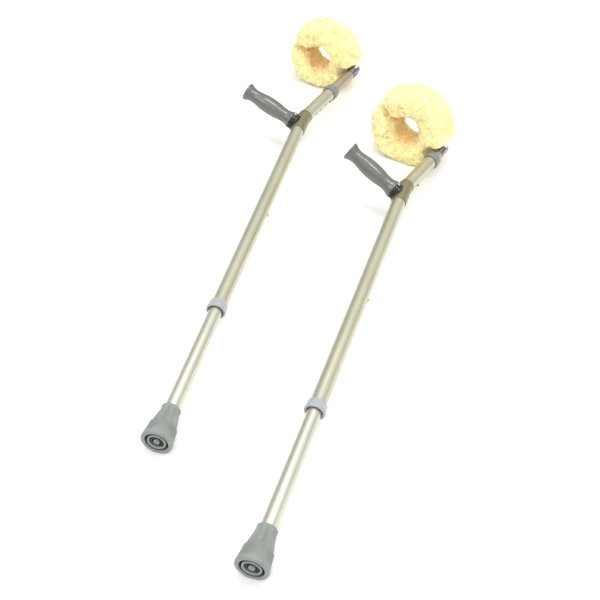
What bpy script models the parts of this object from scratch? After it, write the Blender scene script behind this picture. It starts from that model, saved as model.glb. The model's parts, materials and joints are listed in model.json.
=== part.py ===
"""A pair of double-adjustable forearm crutches with sheepskin-covered cuffs, lying side by side.

Each crutch is drawn standing, in millimetres, in its own frame: the shaft's axis is +Z from the
middle of the ferrule's base, the handle points along +X and +Y is the crutch's side. The pair is
then laid on the floor (z = 0), shafts along +Y, each one leaning on its ferrule and its cuff.
"""

import math

import bmesh
import bpy
from mathutils import Matrix, Vector

MM = 0.001
GAP = 0.3  # clearance between pieces that touch

# Tubes: one-inch outer tube, seven-eighths-inch inner tubes.
MAIN_R = 12.7
MAIN_BORE_R = 11.45
INNER_R = 11.1
INNER_BORE_R = 9.8
TUBE_SIDES = 20
HOLE_R = 3.4
HOLE_SIDES = 8

# Heights along the shaft, from the ferrule's base.
FERRULE_TOP = 64.0
FERRULE_FLOOR = 10.0
COLLAR_BOTTOM = 273.0
MAIN_BOTTOM = 278.0
COLLAR_TOP = 291.0
LEG_BUTTON_Z = 531.0
LEG_TOP = 574.0
HANDLE_Z = 801.0
BEND_Z = 824.0

# The forearm section leans back from the shaft; its lengths start at the middle of the bend.
BEND_ANGLE = math.radians(14.0)
BEND_RADIUS = 80.0
UPPER_COLLAR_BOTTOM = 111.0
UPPER_COLLAR_TOP = 131.0
MAIN_END = 126.0
LOWEST_FOREARM_HOLE = 34.5
FOREARM_HOLES = 4
FOREARM_PITCH = 20.0
FOREARM_TUBE_BELOW = 12.0  # tube below its button
FOREARM_TUBE_ABOVE = 108.0  # tube above its button
PIVOT_ABOVE_TUBE = 27.0
CUFF_ABOVE_PIVOT = 9.0
CUFF_FORWARD = 79.0

LEG_HOLES_BELOW = 4
LEG_HOLES_ABOVE = 2
LEG_PITCH = 25.4

# Snap clips: a brass button on a bent leaf spring.
BUTTON_R = 3.0
BUTTON_TIP = 15.4
BUTTON_SHOULDER = 13.6
BUTTON_FLANGE = 8.7
SPRING_LENGTH = 34.0
SPRING_THICKNESS = 0.7
SPRING_HALF_WIDTH = 4.0

# Handle, measured along its own axis from the shaft's axis.
HANDLE_RISE = math.radians(12.6)
CORE_R = 9.5
CORE_BORE_R = 8.0
CORE_END = 116.0
FLANGE_START = 8.0
FLANGE_END = 19.5
FLANGE_R = 16.4
GRIP_END = 123.0
SADDLE_R = 13.9
SADDLE_BELOW = 20.0  # sleeve below the handle's axis
SADDLE_ABOVE = 12.0
SADDLE_REACH = 60.0  # how far the sleeve-shaped cutter runs past the handle

# Cuff, in the forearm's frame about the cuff's own centre.
BAND_R = 44.5
BAND_THICKNESS = 2.5
BAND_HALF_WIDTH = 22.0
BAND_OPENING = math.radians(35.0)
POCKET_CLEARANCE = 1.5
FLEECE_BACK = 61.5
FLEECE_BACK_SLOPE = math.tan(math.radians(9.0))
FLEECE_BORE_R = 27.0
FLEECE_HALF_WIDTH = 38.0
FLEECE_OFFSET = (-5.0, -5.0, -9.0)  # the sheepskin hangs a little low on its band
FLEECE_SLIT = 3.0
FLEECE_SEGMENTS = 30

# The two crutches on the floor: place of the ferrule's base, heading, roll about the shaft, tilt,
# the forearm hole in use and the radius of the sheepskin.
BOX_CENTRE = (-155.669, 634.187)
CRUTCHES = {
    "right": {
        "place": (0.0, 0.0, 24.21), "yaw": 0.0, "roll": 30.2, "tilt": -1.55,
        "hole": 0, "fleece_r": 77.0,
    },
    "left": {
        "place": (-200.2, 158.9, 24.04), "yaw": 2.8, "roll": 21.3, "tilt": -1.95,
        "hole": 3, "fleece_r": 73.0,
    },
}

COLOURS = {
    "aluminium": ((0.62, 0.60, 0.50), 0.35, 1.0),
    "olive_aluminium": ((0.30, 0.27, 0.15), 0.40, 1.0),
    "rubber": ((0.36, 0.40, 0.38), 0.75, 0.0),
    "collar_plastic": ((0.42, 0.46, 0.49), 0.45, 0.0),
    "grip_plastic": ((0.19, 0.20, 0.20), 0.40, 0.0),
    "black_plastic": ((0.01, 0.01, 0.01), 0.40, 0.0),
    "brass": ((0.78, 0.52, 0.20), 0.30, 1.0),
    "steel": ((0.60, 0.60, 0.60), 0.25, 1.0),
    "black_steel": ((0.03, 0.03, 0.03), 0.35, 1.0),
    "nylon": ((0.80, 0.80, 0.76), 0.50, 0.0),
    "sheepskin": ((0.90, 0.78, 0.45), 0.95, 0.0),
}


def clear_scene():
    """Remove whatever the scene holds, so that only the crutches are in it."""
    for obj in list(bpy.data.objects):
        bpy.data.objects.remove(obj, do_unlink=True)


def make_material(name):
    colour, roughness, metallic = COLOURS[name]
    material = bpy.data.materials.new(name)
    material.use_nodes = True
    shader = material.node_tree.nodes["Principled BSDF"]
    shader.inputs["Base Color"].default_value = (*colour, 1.0)
    shader.inputs["Roughness"].default_value = roughness
    shader.inputs["Metallic"].default_value = metallic
    return material


def add_object(name, bm, material, parent, smooth=True):
    """Turn a bmesh drawn in millimetres into an object of the parent's frame."""
    bmesh.ops.recalc_face_normals(bm, faces=bm.faces)
    bmesh.ops.scale(bm, vec=(MM, MM, MM), verts=bm.verts)
    mesh = bpy.data.meshes.new(name)
    bm.to_mesh(mesh)
    bm.free()
    if smooth:
        mesh.shade_smooth()
        mesh.set_sharp_from_angle(angle=math.radians(35.0))
    obj = bpy.data.objects.new(name, mesh)
    bpy.context.scene.collection.objects.link(obj)
    if material is not None:
        mesh.materials.append(material)
    obj.parent = parent
    return obj


def add_frame(name, parent, matrix):
    """An empty that carries a group of pieces: a crutch, or a moving body at its joint."""
    empty = bpy.data.objects.new(name, None)
    bpy.context.scene.collection.objects.link(empty)
    empty.parent = parent
    empty.matrix_local = matrix
    return empty


def hide_cutter(obj):
    obj.hide_render = True
    obj.display_type = "WIRE"
    return obj


def cut(obj, cutter):
    """Subtract a cutter, which stays in the scene as a guide."""
    modifier = obj.modifiers.new("cut", "BOOLEAN")
    modifier.operation = "DIFFERENCE"
    modifier.object = hide_cutter(cutter)
    return obj


def turned(profile, sides=TUBE_SIDES):
    """Spin a closed outline of (radius, height) points about Z."""
    bm = bmesh.new()
    verts = [bm.verts.new((r, 0.0, z)) for r, z in profile]
    edges = [bm.edges.new((verts[i], verts[(i + 1) % len(verts)])) for i in range(len(verts))]
    bmesh.ops.spin(
        bm, geom=verts + edges, cent=(0, 0, 0), axis=(0, 0, 1), angle=2 * math.pi, steps=sides,
        use_merge=True,
    )
    bmesh.ops.remove_doubles(bm, verts=bm.verts, dist=1e-4)
    bmesh.ops.dissolve_degenerate(bm, edges=bm.edges, dist=1e-5)
    on_axis = [e for e in bm.edges if not e.link_faces]
    bmesh.ops.delete(bm, geom=on_axis, context="EDGES")
    return bm


def solid_rod(radius, z0, z1, sides=HOLE_SIDES):
    bm = bmesh.new()
    bmesh.ops.create_cone(
        bm, cap_ends=True, segments=sides, radius1=radius, radius2=radius, depth=z1 - z0,
        matrix=Matrix.Translation((0, 0, (z0 + z1) / 2)),
    )
    return bm


def block(x, y, z):
    """A box from three (low, high) pairs."""
    bm = bmesh.new()
    size = (x[1] - x[0], y[1] - y[0], z[1] - z[0])
    middle = ((x[0] + x[1]) / 2, (y[0] + y[1]) / 2, (z[0] + z[1]) / 2)
    matrix = Matrix.Translation(middle) @ Matrix.Diagonal((*size, 1.0))
    bmesh.ops.create_cube(bm, size=1.0, matrix=matrix)
    return bm


def extruded(outline, half_width):
    """A plate: an outline of (x, z) points, extruded along Y to both sides."""
    bm = bmesh.new()
    verts = [bm.verts.new((x, -half_width, z)) for x, z in outline]
    face = bm.faces.new(verts)
    grown = bmesh.ops.extrude_face_region(bm, geom=[face])
    moved = [item for item in grown["geom"] if isinstance(item, bmesh.types.BMVert)]
    bmesh.ops.translate(bm, vec=(0, 2 * half_width, 0), verts=moved)
    return bm


def turn(bm, matrix):
    bmesh.ops.transform(bm, matrix=matrix, verts=bm.verts)
    return bm


def shaft_path(z0, end):
    """Points and directions of the tube's axis, from height z0 round the bend to length end."""
    tangent = BEND_RADIUS * math.tan(BEND_ANGLE / 2)
    steps = 3
    path = [(Vector((0, 0, z0)), 0.0)]
    for i in range(steps + 1):
        angle = BEND_ANGLE * i / steps
        centre_x = -BEND_RADIUS
        point = Vector((
            centre_x + BEND_RADIUS * math.cos(angle), 0.0,
            BEND_Z - tangent + BEND_RADIUS * math.sin(angle),
        ))
        path.append((point, angle))
    lean = Vector((-math.sin(BEND_ANGLE), 0.0, math.cos(BEND_ANGLE)))
    path.append((Vector((0, 0, BEND_Z)) + lean * end, BEND_ANGLE))
    return path


def swept_ring(path, outer, inner, sides=TUBE_SIDES):
    """A hollow tube along the shaft's path, or a solid one when inner is None."""
    bm = bmesh.new()

    def loops(radius):
        rings = []
        for point, angle in path:
            across = Vector((math.cos(angle), 0.0, math.sin(angle)))
            ring = []
            for k in range(sides):
                turn_angle = 2 * math.pi * k / sides
                offset = across * math.cos(turn_angle) + Vector((0, 1, 0)) * math.sin(turn_angle)
                ring.append(bm.verts.new(point + offset * radius))
            rings.append(ring)
        return rings

    def skin(rings):
        for low, high in zip(rings, rings[1:]):
            for k in range(sides):
                n = (k + 1) % sides
                bm.faces.new((low[k], low[n], high[n], high[k]))

    outside = loops(outer)
    skin(outside)
    if inner is None:
        bm.faces.new(outside[0])
        bm.faces.new(outside[-1])
        return bm
    inside = loops(inner)
    skin(inside)
    for end in (0, -1):
        for k in range(sides):
            n = (k + 1) % sides
            bm.faces.new((outside[end][k], outside[end][n], inside[end][n], inside[end][k]))
    return bm


def hole_pins(frame, name, heights):
    """One comb-shaped cutter for a row of holes in the tube's back (-X) wall."""
    bm = bmesh.new()
    rotation = Matrix.Rotation(math.radians(-90.0), 4, "Y")
    for height in heights:
        bmesh.ops.create_cone(
            bm, cap_ends=True, segments=HOLE_SIDES, radius1=HOLE_R, radius2=HOLE_R, depth=12.0,
            matrix=Matrix.Translation((-12.0, 0.0, height)) @ rotation,
        )
    return hide_cutter(add_object(name, bm, None, frame, smooth=False))


def snap_button():
    """Domed brass button with a flange, lying along -X."""
    dome = [
        (BUTTON_R, BUTTON_SHOULDER),
        (BUTTON_R * 0.8, BUTTON_SHOULDER + 1.2),
        (BUTTON_R * 0.4, BUTTON_TIP),
    ]
    profile = [
        (0.0, BUTTON_FLANGE - 1.0),
        (4.0, BUTTON_FLANGE - 1.0),
        (4.0, BUTTON_FLANGE),
        (BUTTON_R, BUTTON_FLANGE),
        *dome,
        (0.0, BUTTON_TIP),
    ]
    return turn(turned(profile, 12), Matrix.Rotation(math.radians(-90.0), 4, "Y"))


def snap_spring(height):
    """V-shaped leaf spring inside the tube: its back leaf carries the button."""
    back = -(BUTTON_FLANGE - 1.0 - GAP)
    front = 8.6
    low = height - 6.0
    apex = height + SPRING_LENGTH
    t = SPRING_THICKNESS
    outline = [
        (back, low),
        (back + t, low),
        (back + t, height + 5.0),
        (0.4, apex - 4.0),
        (front - t, height + 2.0),
        (front - t, low),
        (front, low),
        (front, height + 2.5),
        (1.6, apex),
        (-0.8, apex),
        (back, height + 5.5),
    ]
    return extruded(outline, SPRING_HALF_WIDTH)


def rivet(length, shank, head, sides=10):
    """A round rivet along Z, centred, with a low domed head at each end."""
    half = length / 2
    height = head * 0.45
    profile = [
        (0.0, -half - height),
        (head * 0.6, -half - height),
        (head, -half),
        (shank, -half),
        (shank, half),
        (head, half),
        (head * 0.6, half + height),
        (0.0, half + height),
    ]
    return turned(profile, sides)


def build_leg(side, frame, metals):
    """Ferrule, washer, leg tube, end plug, snap clip: everything that slides with the leg."""
    ferrule_profile = [
        (0.0, 2.4), (10.8, 2.4), (11.3, 0.0), (22.8, 0.0), (24.3, 3.0), (21.6, 21.0), (20.9, 28.0),
        (19.4, 29.2), (15.2, 54.0), (14.3, 61.5), (13.4, FERRULE_TOP), (11.5, FERRULE_TOP),
        (11.4, FERRULE_FLOOR), (0.0, FERRULE_FLOOR),
    ]
    add_object(f"{side}_ferrule", turned(ferrule_profile, 24), metals["rubber"], frame)
    add_object(
        f"{side}_ferrule_washer",
        turned([(4.0, 10.3), (10.8, 10.3), (10.8, 12.3), (4.0, 12.3)], 16),
        metals["steel"], frame,
    )
    tube = add_object(
        f"{side}_leg_tube",
        turned([
            (INNER_BORE_R, 12.7), (INNER_R, 12.7), (INNER_R, LEG_TOP), (INNER_BORE_R, LEG_TOP),
        ]),
        metals["aluminium"], frame,
    )
    cut(tube, hole_pins(frame, f"{side}_leg_pin_cutter", [LEG_BUTTON_Z]))
    plug = [
        (0.0, LEG_TOP - 8.0), (9.4, LEG_TOP - 8.0), (9.4, LEG_TOP + GAP), (INNER_R, LEG_TOP + GAP),
        (INNER_R - 0.6, LEG_TOP + 3.0), (0.0, LEG_TOP + 3.0),
    ]
    add_object(f"{side}_leg_tube_plug", turned(plug, 14), metals["nylon"], frame)
    press = add_frame(
        f"{side}_leg_button_axis", frame, Matrix.Translation((0, 0, LEG_BUTTON_Z * MM))
    )
    add_object(f"{side}_leg_button", snap_button(), metals["brass"], press)
    spring = snap_spring(LEG_BUTTON_Z)
    add_object(f"{side}_leg_spring", spring, metals["steel"], frame, smooth=False)


def build_main(side, frame, forearm, metals):
    """The bent outer tube with both rows of holes, and the collars pressed on its ends."""
    tube = add_object(
        f"{side}_main_tube", swept_ring(shaft_path(MAIN_BOTTOM, MAIN_END), MAIN_R, MAIN_BORE_R),
        metals["aluminium"], frame,
    )
    leg_heights = [
        LEG_BUTTON_Z + LEG_PITCH * step for step in range(-LEG_HOLES_BELOW, LEG_HOLES_ABOVE + 1)
    ]
    cut(tube, hole_pins(frame, f"{side}_main_leg_cutter", leg_heights))
    forearm_heights = [LOWEST_FOREARM_HOLE + FOREARM_PITCH * step for step in range(FOREARM_HOLES)]
    cut(tube, hole_pins(forearm, f"{side}_main_forearm_cutter", forearm_heights))
    lower = [
        (INNER_R + 0.5, COLLAR_BOTTOM + 3.5), (13.4, COLLAR_BOTTOM), (15.5, COLLAR_BOTTOM),
        (16.2, COLLAR_BOTTOM + 2.0), (16.1, COLLAR_BOTTOM + 7.0), (15.4, COLLAR_TOP - 5.0),
        (15.1, COLLAR_TOP - 1.0), (14.4, COLLAR_TOP), (MAIN_R + GAP, COLLAR_TOP),
        (MAIN_R + GAP, MAIN_BOTTOM - GAP), (INNER_R + 0.5, MAIN_BOTTOM - GAP),
    ]
    add_object(f"{side}_lower_collar", turned(lower, 20), metals["collar_plastic"], frame)
    upper = [
        (MAIN_R + GAP, UPPER_COLLAR_BOTTOM), (14.2, UPPER_COLLAR_BOTTOM),
        (15.2, UPPER_COLLAR_BOTTOM + 1.5), (15.5, UPPER_COLLAR_BOTTOM + 9.0),
        (15.0, UPPER_COLLAR_TOP - 3.0), (13.4, UPPER_COLLAR_TOP), (INNER_R + 0.5, UPPER_COLLAR_TOP),
        (INNER_R + 0.5, MAIN_END + GAP), (MAIN_R + GAP, MAIN_END + GAP),
    ]
    add_object(f"{side}_upper_collar", turned(upper, 20), metals["collar_plastic"], forearm)


def build_handle(side, frame, metals):
    """Saddle sleeve round the bend, and the handle's core, root flange, grip, plug and rivet."""
    saddle_path = shaft_path(HANDLE_Z - SADDLE_BELOW, SADDLE_ABOVE)
    add_object(
        f"{side}_handle_saddle", swept_ring(saddle_path, SADDLE_R, MAIN_R + GAP),
        metals["olive_aluminium"], frame,
    )
    around = shaft_path(HANDLE_Z - SADDLE_REACH, SADDLE_REACH)
    cutter = hide_cutter(add_object(
        f"{side}_handle_cutter", swept_ring(around, SADDLE_R + GAP, None), None, frame, smooth=False,
    ))
    handle = add_frame(
        f"{side}_handle_axis", frame,
        Matrix.Translation((0, 0, HANDLE_Z * MM)) @ Matrix.Rotation(math.pi / 2 - HANDLE_RISE, 4, "Y"),
    )
    core = turned([
        (CORE_BORE_R, FLANGE_START), (CORE_R, FLANGE_START), (CORE_R, CORE_END), (CORE_BORE_R, CORE_END),
    ])
    core_tube = cut(add_object(f"{side}_handle_core", core, metals["aluminium"], handle), cutter)
    flange = turned([
        (CORE_R + GAP, FLANGE_START), (FLANGE_R - 1.0, FLANGE_START), (FLANGE_R, FLANGE_START + 1.0),
        (FLANGE_R, FLANGE_END - 1.0), (FLANGE_R - 1.0, FLANGE_END), (CORE_R + GAP, FLANGE_END),
    ], 20)
    root = cut(add_object(f"{side}_handle_flange", flange, metals["black_plastic"], handle), cutter)
    rivet_height = FLANGE_END - 2.6
    bore = turn(
        solid_rod(1.8, -20.0, 20.0),
        Matrix.Translation((0, 0, rivet_height)) @ Matrix.Rotation(math.pi / 2, 4, "X"),
    )
    bore_cutter = add_object(f"{side}_flange_rivet_cutter", bore, None, handle, smooth=False)
    cut(core_tube, bore_cutter)
    cut(root, bore_cutter)
    pin = turn(
        rivet(2 * FLANGE_R + 2 * GAP, 1.5, 2.4),
        Matrix.Translation((0, 0, rivet_height)) @ Matrix.Rotation(math.pi / 2, 4, "X"),
    )
    add_object(f"{side}_handle_rivet", pin, metals["steel"], handle)
    start = FLANGE_END + GAP
    waists = [
        (16.9, start), (16.0, 22.5), (13.9, 28.5), (13.1, 35.0), (13.4, 41.5), (15.0, 52.0),
        (15.9, 62.0), (16.1, 72.0), (15.6, 83.0), (14.0, 94.0), (13.1, 101.0), (13.1, 107.0),
        (14.2, 113.5), (16.4, 118.5), (17.4, GRIP_END - 1.0), (17.2, GRIP_END),
    ]
    grip = [(CORE_R + GAP, start), *waists, (CORE_R + GAP, GRIP_END)]
    add_object(f"{side}_hand_grip", turned(grip, 22), metals["grip_plastic"], handle)
    plug = [
        (0.0, CORE_END - 8.0), (CORE_BORE_R - GAP, CORE_END - 8.0), (CORE_BORE_R - GAP, CORE_END + GAP),
        (CORE_R, CORE_END + GAP), (CORE_R, GRIP_END - 0.8), (CORE_R - 1.0, GRIP_END - 0.2),
        (0.0, GRIP_END - 0.2),
    ]
    add_object(f"{side}_handle_end_plug", turned(plug, 14), metals["grip_plastic"], handle)


def build_forearm(side, frame, button_s, metals):
    """The inner forearm tube with its snap clip and the fork that holds the cuff."""
    low = button_s - FOREARM_TUBE_BELOW
    top = button_s + FOREARM_TUBE_ABOVE
    pivot = top + PIVOT_ABOVE_TUBE
    tube = add_object(
        f"{side}_forearm_tube",
        turned([(INNER_BORE_R, low), (INNER_R, low), (INNER_R, top), (INNER_BORE_R, top)]),
        metals["aluminium"], frame,
    )
    cut(tube, hole_pins(frame, f"{side}_forearm_pin_cutter", [button_s]))
    press = add_frame(
        f"{side}_forearm_button_axis", frame, Matrix.Translation((0, 0, button_s * MM))
    )
    add_object(f"{side}_forearm_button", snap_button(), metals["brass"], press)
    spring = snap_spring(button_s)
    add_object(f"{side}_forearm_spring", spring, metals["steel"], frame, smooth=False)

    # The fork: a spigot in the tube's end, a round shoulder on it, and two cheeks for the pin.
    shoulder = top + 5.0
    fork = add_object(
        f"{side}_cuff_fork",
        turned([
            (0.0, top - 22.0), (9.2, top - 22.0), (9.4, top - 20.0), (9.4, top + GAP),
            (INNER_R, top + GAP), (INNER_R, shoulder), (10.4, pivot + 8.0), (8.0, pivot + 10.5),
            (0.0, pivot + 10.5),
        ], 20),
        metals["black_steel"], frame,
    )
    slot = block((-20.0, 20.0), (-4.0, 4.0), (shoulder, pivot + 20.0))
    cut(fork, add_object(f"{side}_fork_slot_cutter", slot, None, frame, smooth=False))
    across = Matrix.Rotation(math.pi / 2, 4, "X")
    pin_bore = turn(solid_rod(3.1, -16.0, 16.0, 12), Matrix.Translation((0, 0, pivot)) @ across)
    cut(fork, add_object(f"{side}_fork_pin_cutter", pin_bore, None, frame, smooth=False))
    cross_z = top - 10.0
    cross_bore = turn(solid_rod(1.9, -16.0, 16.0), Matrix.Translation((0, 0, cross_z)) @ across)
    cross_cutter = add_object(f"{side}_fork_rivet_cutter", cross_bore, None, frame, smooth=False)
    cut(fork, cross_cutter)
    cut(tube, cross_cutter)
    cross_pin = turn(
        solid_rod(1.6, -INNER_R - 0.2, INNER_R + 0.2), Matrix.Translation((0, 0, cross_z)) @ across
    )
    add_object(f"{side}_fork_rivet", cross_pin, metals["steel"], frame)
    pin = turn(rivet(2 * 10.9 + 2 * GAP, 2.8, 4.6), Matrix.Translation((0, 0, pivot)) @ across)
    add_object(f"{side}_pivot_pin", pin, metals["steel"], frame)
    for name, y in (("inner", -3.2), ("outer", 3.2)):
        washer = turned([(3.1, -0.5), (7.0, -0.5), (7.0, 0.5), (3.1, 0.5)], 14)
        turn(washer, Matrix.Translation((0, y, pivot)) @ across)
        add_object(f"{side}_pivot_washer_{name}", washer, metals["nylon"], frame)
    return pivot


def arc_ring(inner, outer, half_width, opening, segments):
    """A ring about Z with a gap centred on +X, as a closed band."""
    bm = bmesh.new()
    section = [(inner, -half_width), (outer, -half_width), (outer, half_width), (inner, half_width)]
    loops = []
    for i in range(segments + 1):
        angle = opening + (2 * math.pi - 2 * opening) * i / segments
        loops.append([bm.verts.new((r * math.cos(angle), r * math.sin(angle), z)) for r, z in section])
    for a, b in zip(loops, loops[1:]):
        for k in range(4):
            n = (k + 1) % 4
            bm.faces.new((a[k], a[n], b[n], b[k]))
    bm.faces.new(loops[0])
    bm.faces.new(loops[-1])
    return bm


def build_cuff(side, frame, radius, metals):
    """Tab, band, rivets and sheepskin cover, about the cuff's centre; +X is its open front."""
    pin_x = -CUFF_FORWARD
    pin_z = -CUFF_ABOVE_PIVOT
    plate_back = -BAND_R - GAP - 3.0
    plate_front = -BAND_R - GAP
    tab = add_object(
        f"{side}_cuff_tab",
        extruded([
            (pin_x - 6.5, pin_z - 6.0), (plate_front, -6.0), (plate_front, 6.0),
            (pin_x - 6.5, pin_z + 6.0),
        ], 2.4),
        metals["black_steel"], frame, smooth=False,
    )
    pad = block((plate_back, plate_front), (-9.0, 9.0), (-17.0, 17.0))
    pad_object = hide_cutter(add_object(f"{side}_tab_pad", pad, None, frame, smooth=False))
    union = tab.modifiers.new("pad", "BOOLEAN")
    union.operation = "UNION"
    union.object = pad_object
    across = Matrix.Rotation(math.pi / 2, 4, "X")
    pin_bore = turn(solid_rod(3.1, -16.0, 16.0, 12), Matrix.Translation((pin_x, 0, pin_z)) @ across)
    cut(tab, add_object(f"{side}_tab_pin_cutter", pin_bore, None, frame, smooth=False))

    band = add_object(
        f"{side}_cuff_band",
        arc_ring(BAND_R - BAND_THICKNESS, BAND_R, BAND_HALF_WIDTH, BAND_OPENING, 30),
        metals["black_plastic"], frame,
    )
    lie_down = Matrix.Rotation(math.pi / 2, 4, "Y")
    middle_x = (plate_back - BAND_R + BAND_THICKNESS) / 2
    stack = -BAND_R + BAND_THICKNESS - plate_back
    for name, z in (("upper", 12.5), ("lower", -12.5)):
        place = Matrix.Translation((middle_x, 0, z)) @ lie_down
        bore = turn(solid_rod(2.2, -12.0, 12.0), place)
        bore_cutter = add_object(f"{side}_{name}_bore_cutter", bore, None, frame, smooth=False)
        cut(tab, bore_cutter)
        cut(band, bore_cutter)
        pin = turn(
            rivet(stack + 2 * GAP, 1.9, 3.4), Matrix.Translation((middle_x, 0, z)) @ lie_down,
        )
        add_object(f"{side}_cuff_rivet_{name}", pin, metals["steel"], frame)

    half = FLEECE_HALF_WIDTH
    profile = [
        (FLEECE_BORE_R + 6.0, -half), (radius - 14.0, -half), (radius - 3.0, -half * 0.6),
        (radius, 0.0), (radius - 3.0, half * 0.6), (radius - 14.0, half),
        (FLEECE_BORE_R + 6.0, half), (FLEECE_BORE_R, half * 0.5), (FLEECE_BORE_R, -half * 0.5),
    ]
    cover = turn(turned(profile, FLEECE_SEGMENTS), Matrix.Translation(FLEECE_OFFSET))
    fleece = add_object(f"{side}_cuff_fleece", cover, metals["sheepskin"], frame)
    reach = radius + 20.0
    slit = block((0.0, reach), (-FLEECE_SLIT / 2, FLEECE_SLIT / 2), (-reach, reach))
    turn(slit, Matrix.Translation(FLEECE_OFFSET))
    cut(fleece, add_object(f"{side}_fleece_slit_cutter", slit, None, frame, smooth=False))
    back = extruded([
        (-reach, reach), (-FLEECE_BACK - 12.0, reach), (-FLEECE_BACK - 12.0, pin_z + 24.0),
        (-FLEECE_BACK, pin_z + 16.0), (-FLEECE_BACK, pin_z),
        (-FLEECE_BACK + FLEECE_BACK_SLOPE * (reach + pin_z), -reach), (-reach, -reach),
    ], reach)
    cut(fleece, add_object(f"{side}_fleece_back_cutter", back, None, frame, smooth=False))
    pocket = arc_ring(
        BAND_R - BAND_THICKNESS - 0.8, BAND_R + 0.8, BAND_HALF_WIDTH + POCKET_CLEARANCE,
        BAND_OPENING - math.radians(3.0), 20,
    )
    cut(fleece, add_object(f"{side}_fleece_pocket_cutter", pocket, None, frame, smooth=False))
    hatch = block((-reach, -BAND_R + BAND_THICKNESS + 4.0), (-10.5, 10.5), (-18.0, 18.0))
    cut(fleece, add_object(f"{side}_fleece_hatch_cutter", hatch, None, frame, smooth=False))
    return fleece


def crutch_matrix(pose):
    """Lay a standing crutch down: its side up, its handle to -X, its shaft along +Y."""
    lying = Matrix(((-1, 0, 0, 0), (0, 0, 1, 0), (0, 1, 0, 0), (0, 0, 0, 1)))
    x, y, z = pose["place"]
    place = Matrix.Translation(((x - BOX_CENTRE[0]) * MM, (y - BOX_CENTRE[1]) * MM, z * MM))
    yaw = Matrix.Rotation(math.radians(pose["yaw"]), 4, "Z")
    tilt = Matrix.Rotation(math.radians(pose["tilt"]), 4, "X")
    roll = Matrix.Rotation(math.radians(pose["roll"]), 4, "Z")
    return place @ yaw @ lying @ tilt @ roll


def flatten_on_floor(fleece):
    """Cut the fleece off at the floor, where the crutch's weight presses it flat."""
    bpy.context.view_layer.update()
    size = 0.4
    bm = bmesh.new()
    bmesh.ops.create_cube(bm, size=1.0, matrix=Matrix.Diagonal((size, size, size, 1.0)))
    mesh = bpy.data.meshes.new(fleece.name + "_floor_cutter")
    bm.to_mesh(mesh)
    bm.free()
    cutter = bpy.data.objects.new(mesh.name, mesh)
    bpy.context.scene.collection.objects.link(cutter)
    centre = fleece.matrix_world.translation
    cutter.location = (centre.x, centre.y, -size / 2)
    cut(fleece, cutter)


def build_crutch(side, pose, metals):
    root = add_frame(f"{side}_crutch", None, crutch_matrix(pose))
    forearm = add_frame(
        f"{side}_forearm_axis", root,
        Matrix.Translation((0, 0, BEND_Z * MM)) @ Matrix.Rotation(-BEND_ANGLE, 4, "Y"),
    )
    button_s = LOWEST_FOREARM_HOLE + FOREARM_PITCH * pose["hole"]
    build_leg(side, root, metals)
    build_main(side, root, forearm, metals)
    build_handle(side, root, metals)
    pivot = build_forearm(side, forearm, button_s, metals)
    hinge = add_frame(f"{side}_cuff_pivot", forearm, Matrix.Translation((0, 0, pivot * MM)))
    centre = Matrix.Translation((CUFF_FORWARD * MM, 0, CUFF_ABOVE_PIVOT * MM))
    cuff = add_frame(f"{side}_cuff_centre", hinge, centre)
    fleece = build_cuff(side, cuff, pose["fleece_r"], metals)
    flatten_on_floor(fleece)


def main():
    clear_scene()
    metals = {name: make_material(name) for name in COLOURS}
    for side, pose in CRUTCHES.items():
        build_crutch(side, pose, metals)


main()
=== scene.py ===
"""Looks for a pair of forearm crutches with sheepskin-covered cuffs, lying on a pale floor.

Lengths are in millimetres in each crutch's own frame: the shaft's axis is +Z from the middle of the
ferrule's base, the handle points along +X and +Y is the crutch's side. Those frames come from the
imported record's joints and mounts.
"""

import json
import math

import bpy
import numpy as np
from mathutils import Matrix, Vector


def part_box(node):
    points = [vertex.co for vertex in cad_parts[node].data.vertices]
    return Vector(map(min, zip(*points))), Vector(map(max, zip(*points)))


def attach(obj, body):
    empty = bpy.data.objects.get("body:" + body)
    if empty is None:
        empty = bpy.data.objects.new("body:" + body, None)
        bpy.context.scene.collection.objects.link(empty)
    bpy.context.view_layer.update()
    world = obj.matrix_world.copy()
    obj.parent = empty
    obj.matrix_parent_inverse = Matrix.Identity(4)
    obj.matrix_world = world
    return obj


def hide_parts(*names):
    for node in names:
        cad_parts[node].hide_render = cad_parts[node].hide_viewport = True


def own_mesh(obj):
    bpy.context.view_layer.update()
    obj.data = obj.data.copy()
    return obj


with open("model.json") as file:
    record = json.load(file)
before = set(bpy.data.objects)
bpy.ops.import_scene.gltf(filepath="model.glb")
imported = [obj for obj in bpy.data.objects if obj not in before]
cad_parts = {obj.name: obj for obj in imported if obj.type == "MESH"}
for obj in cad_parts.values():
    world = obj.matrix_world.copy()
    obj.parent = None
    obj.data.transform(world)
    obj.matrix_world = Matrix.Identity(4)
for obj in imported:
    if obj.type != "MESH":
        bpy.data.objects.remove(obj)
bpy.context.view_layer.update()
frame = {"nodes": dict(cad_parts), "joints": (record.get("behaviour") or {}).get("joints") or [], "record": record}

MM = 0.001
SIDES = ("right", "left")
JOINTS = {joint["name"]: joint for joint in frame["joints"]}
MOUNTS = {mount["name"]: mount for mount in frame["record"]["mounts"]}

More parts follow.
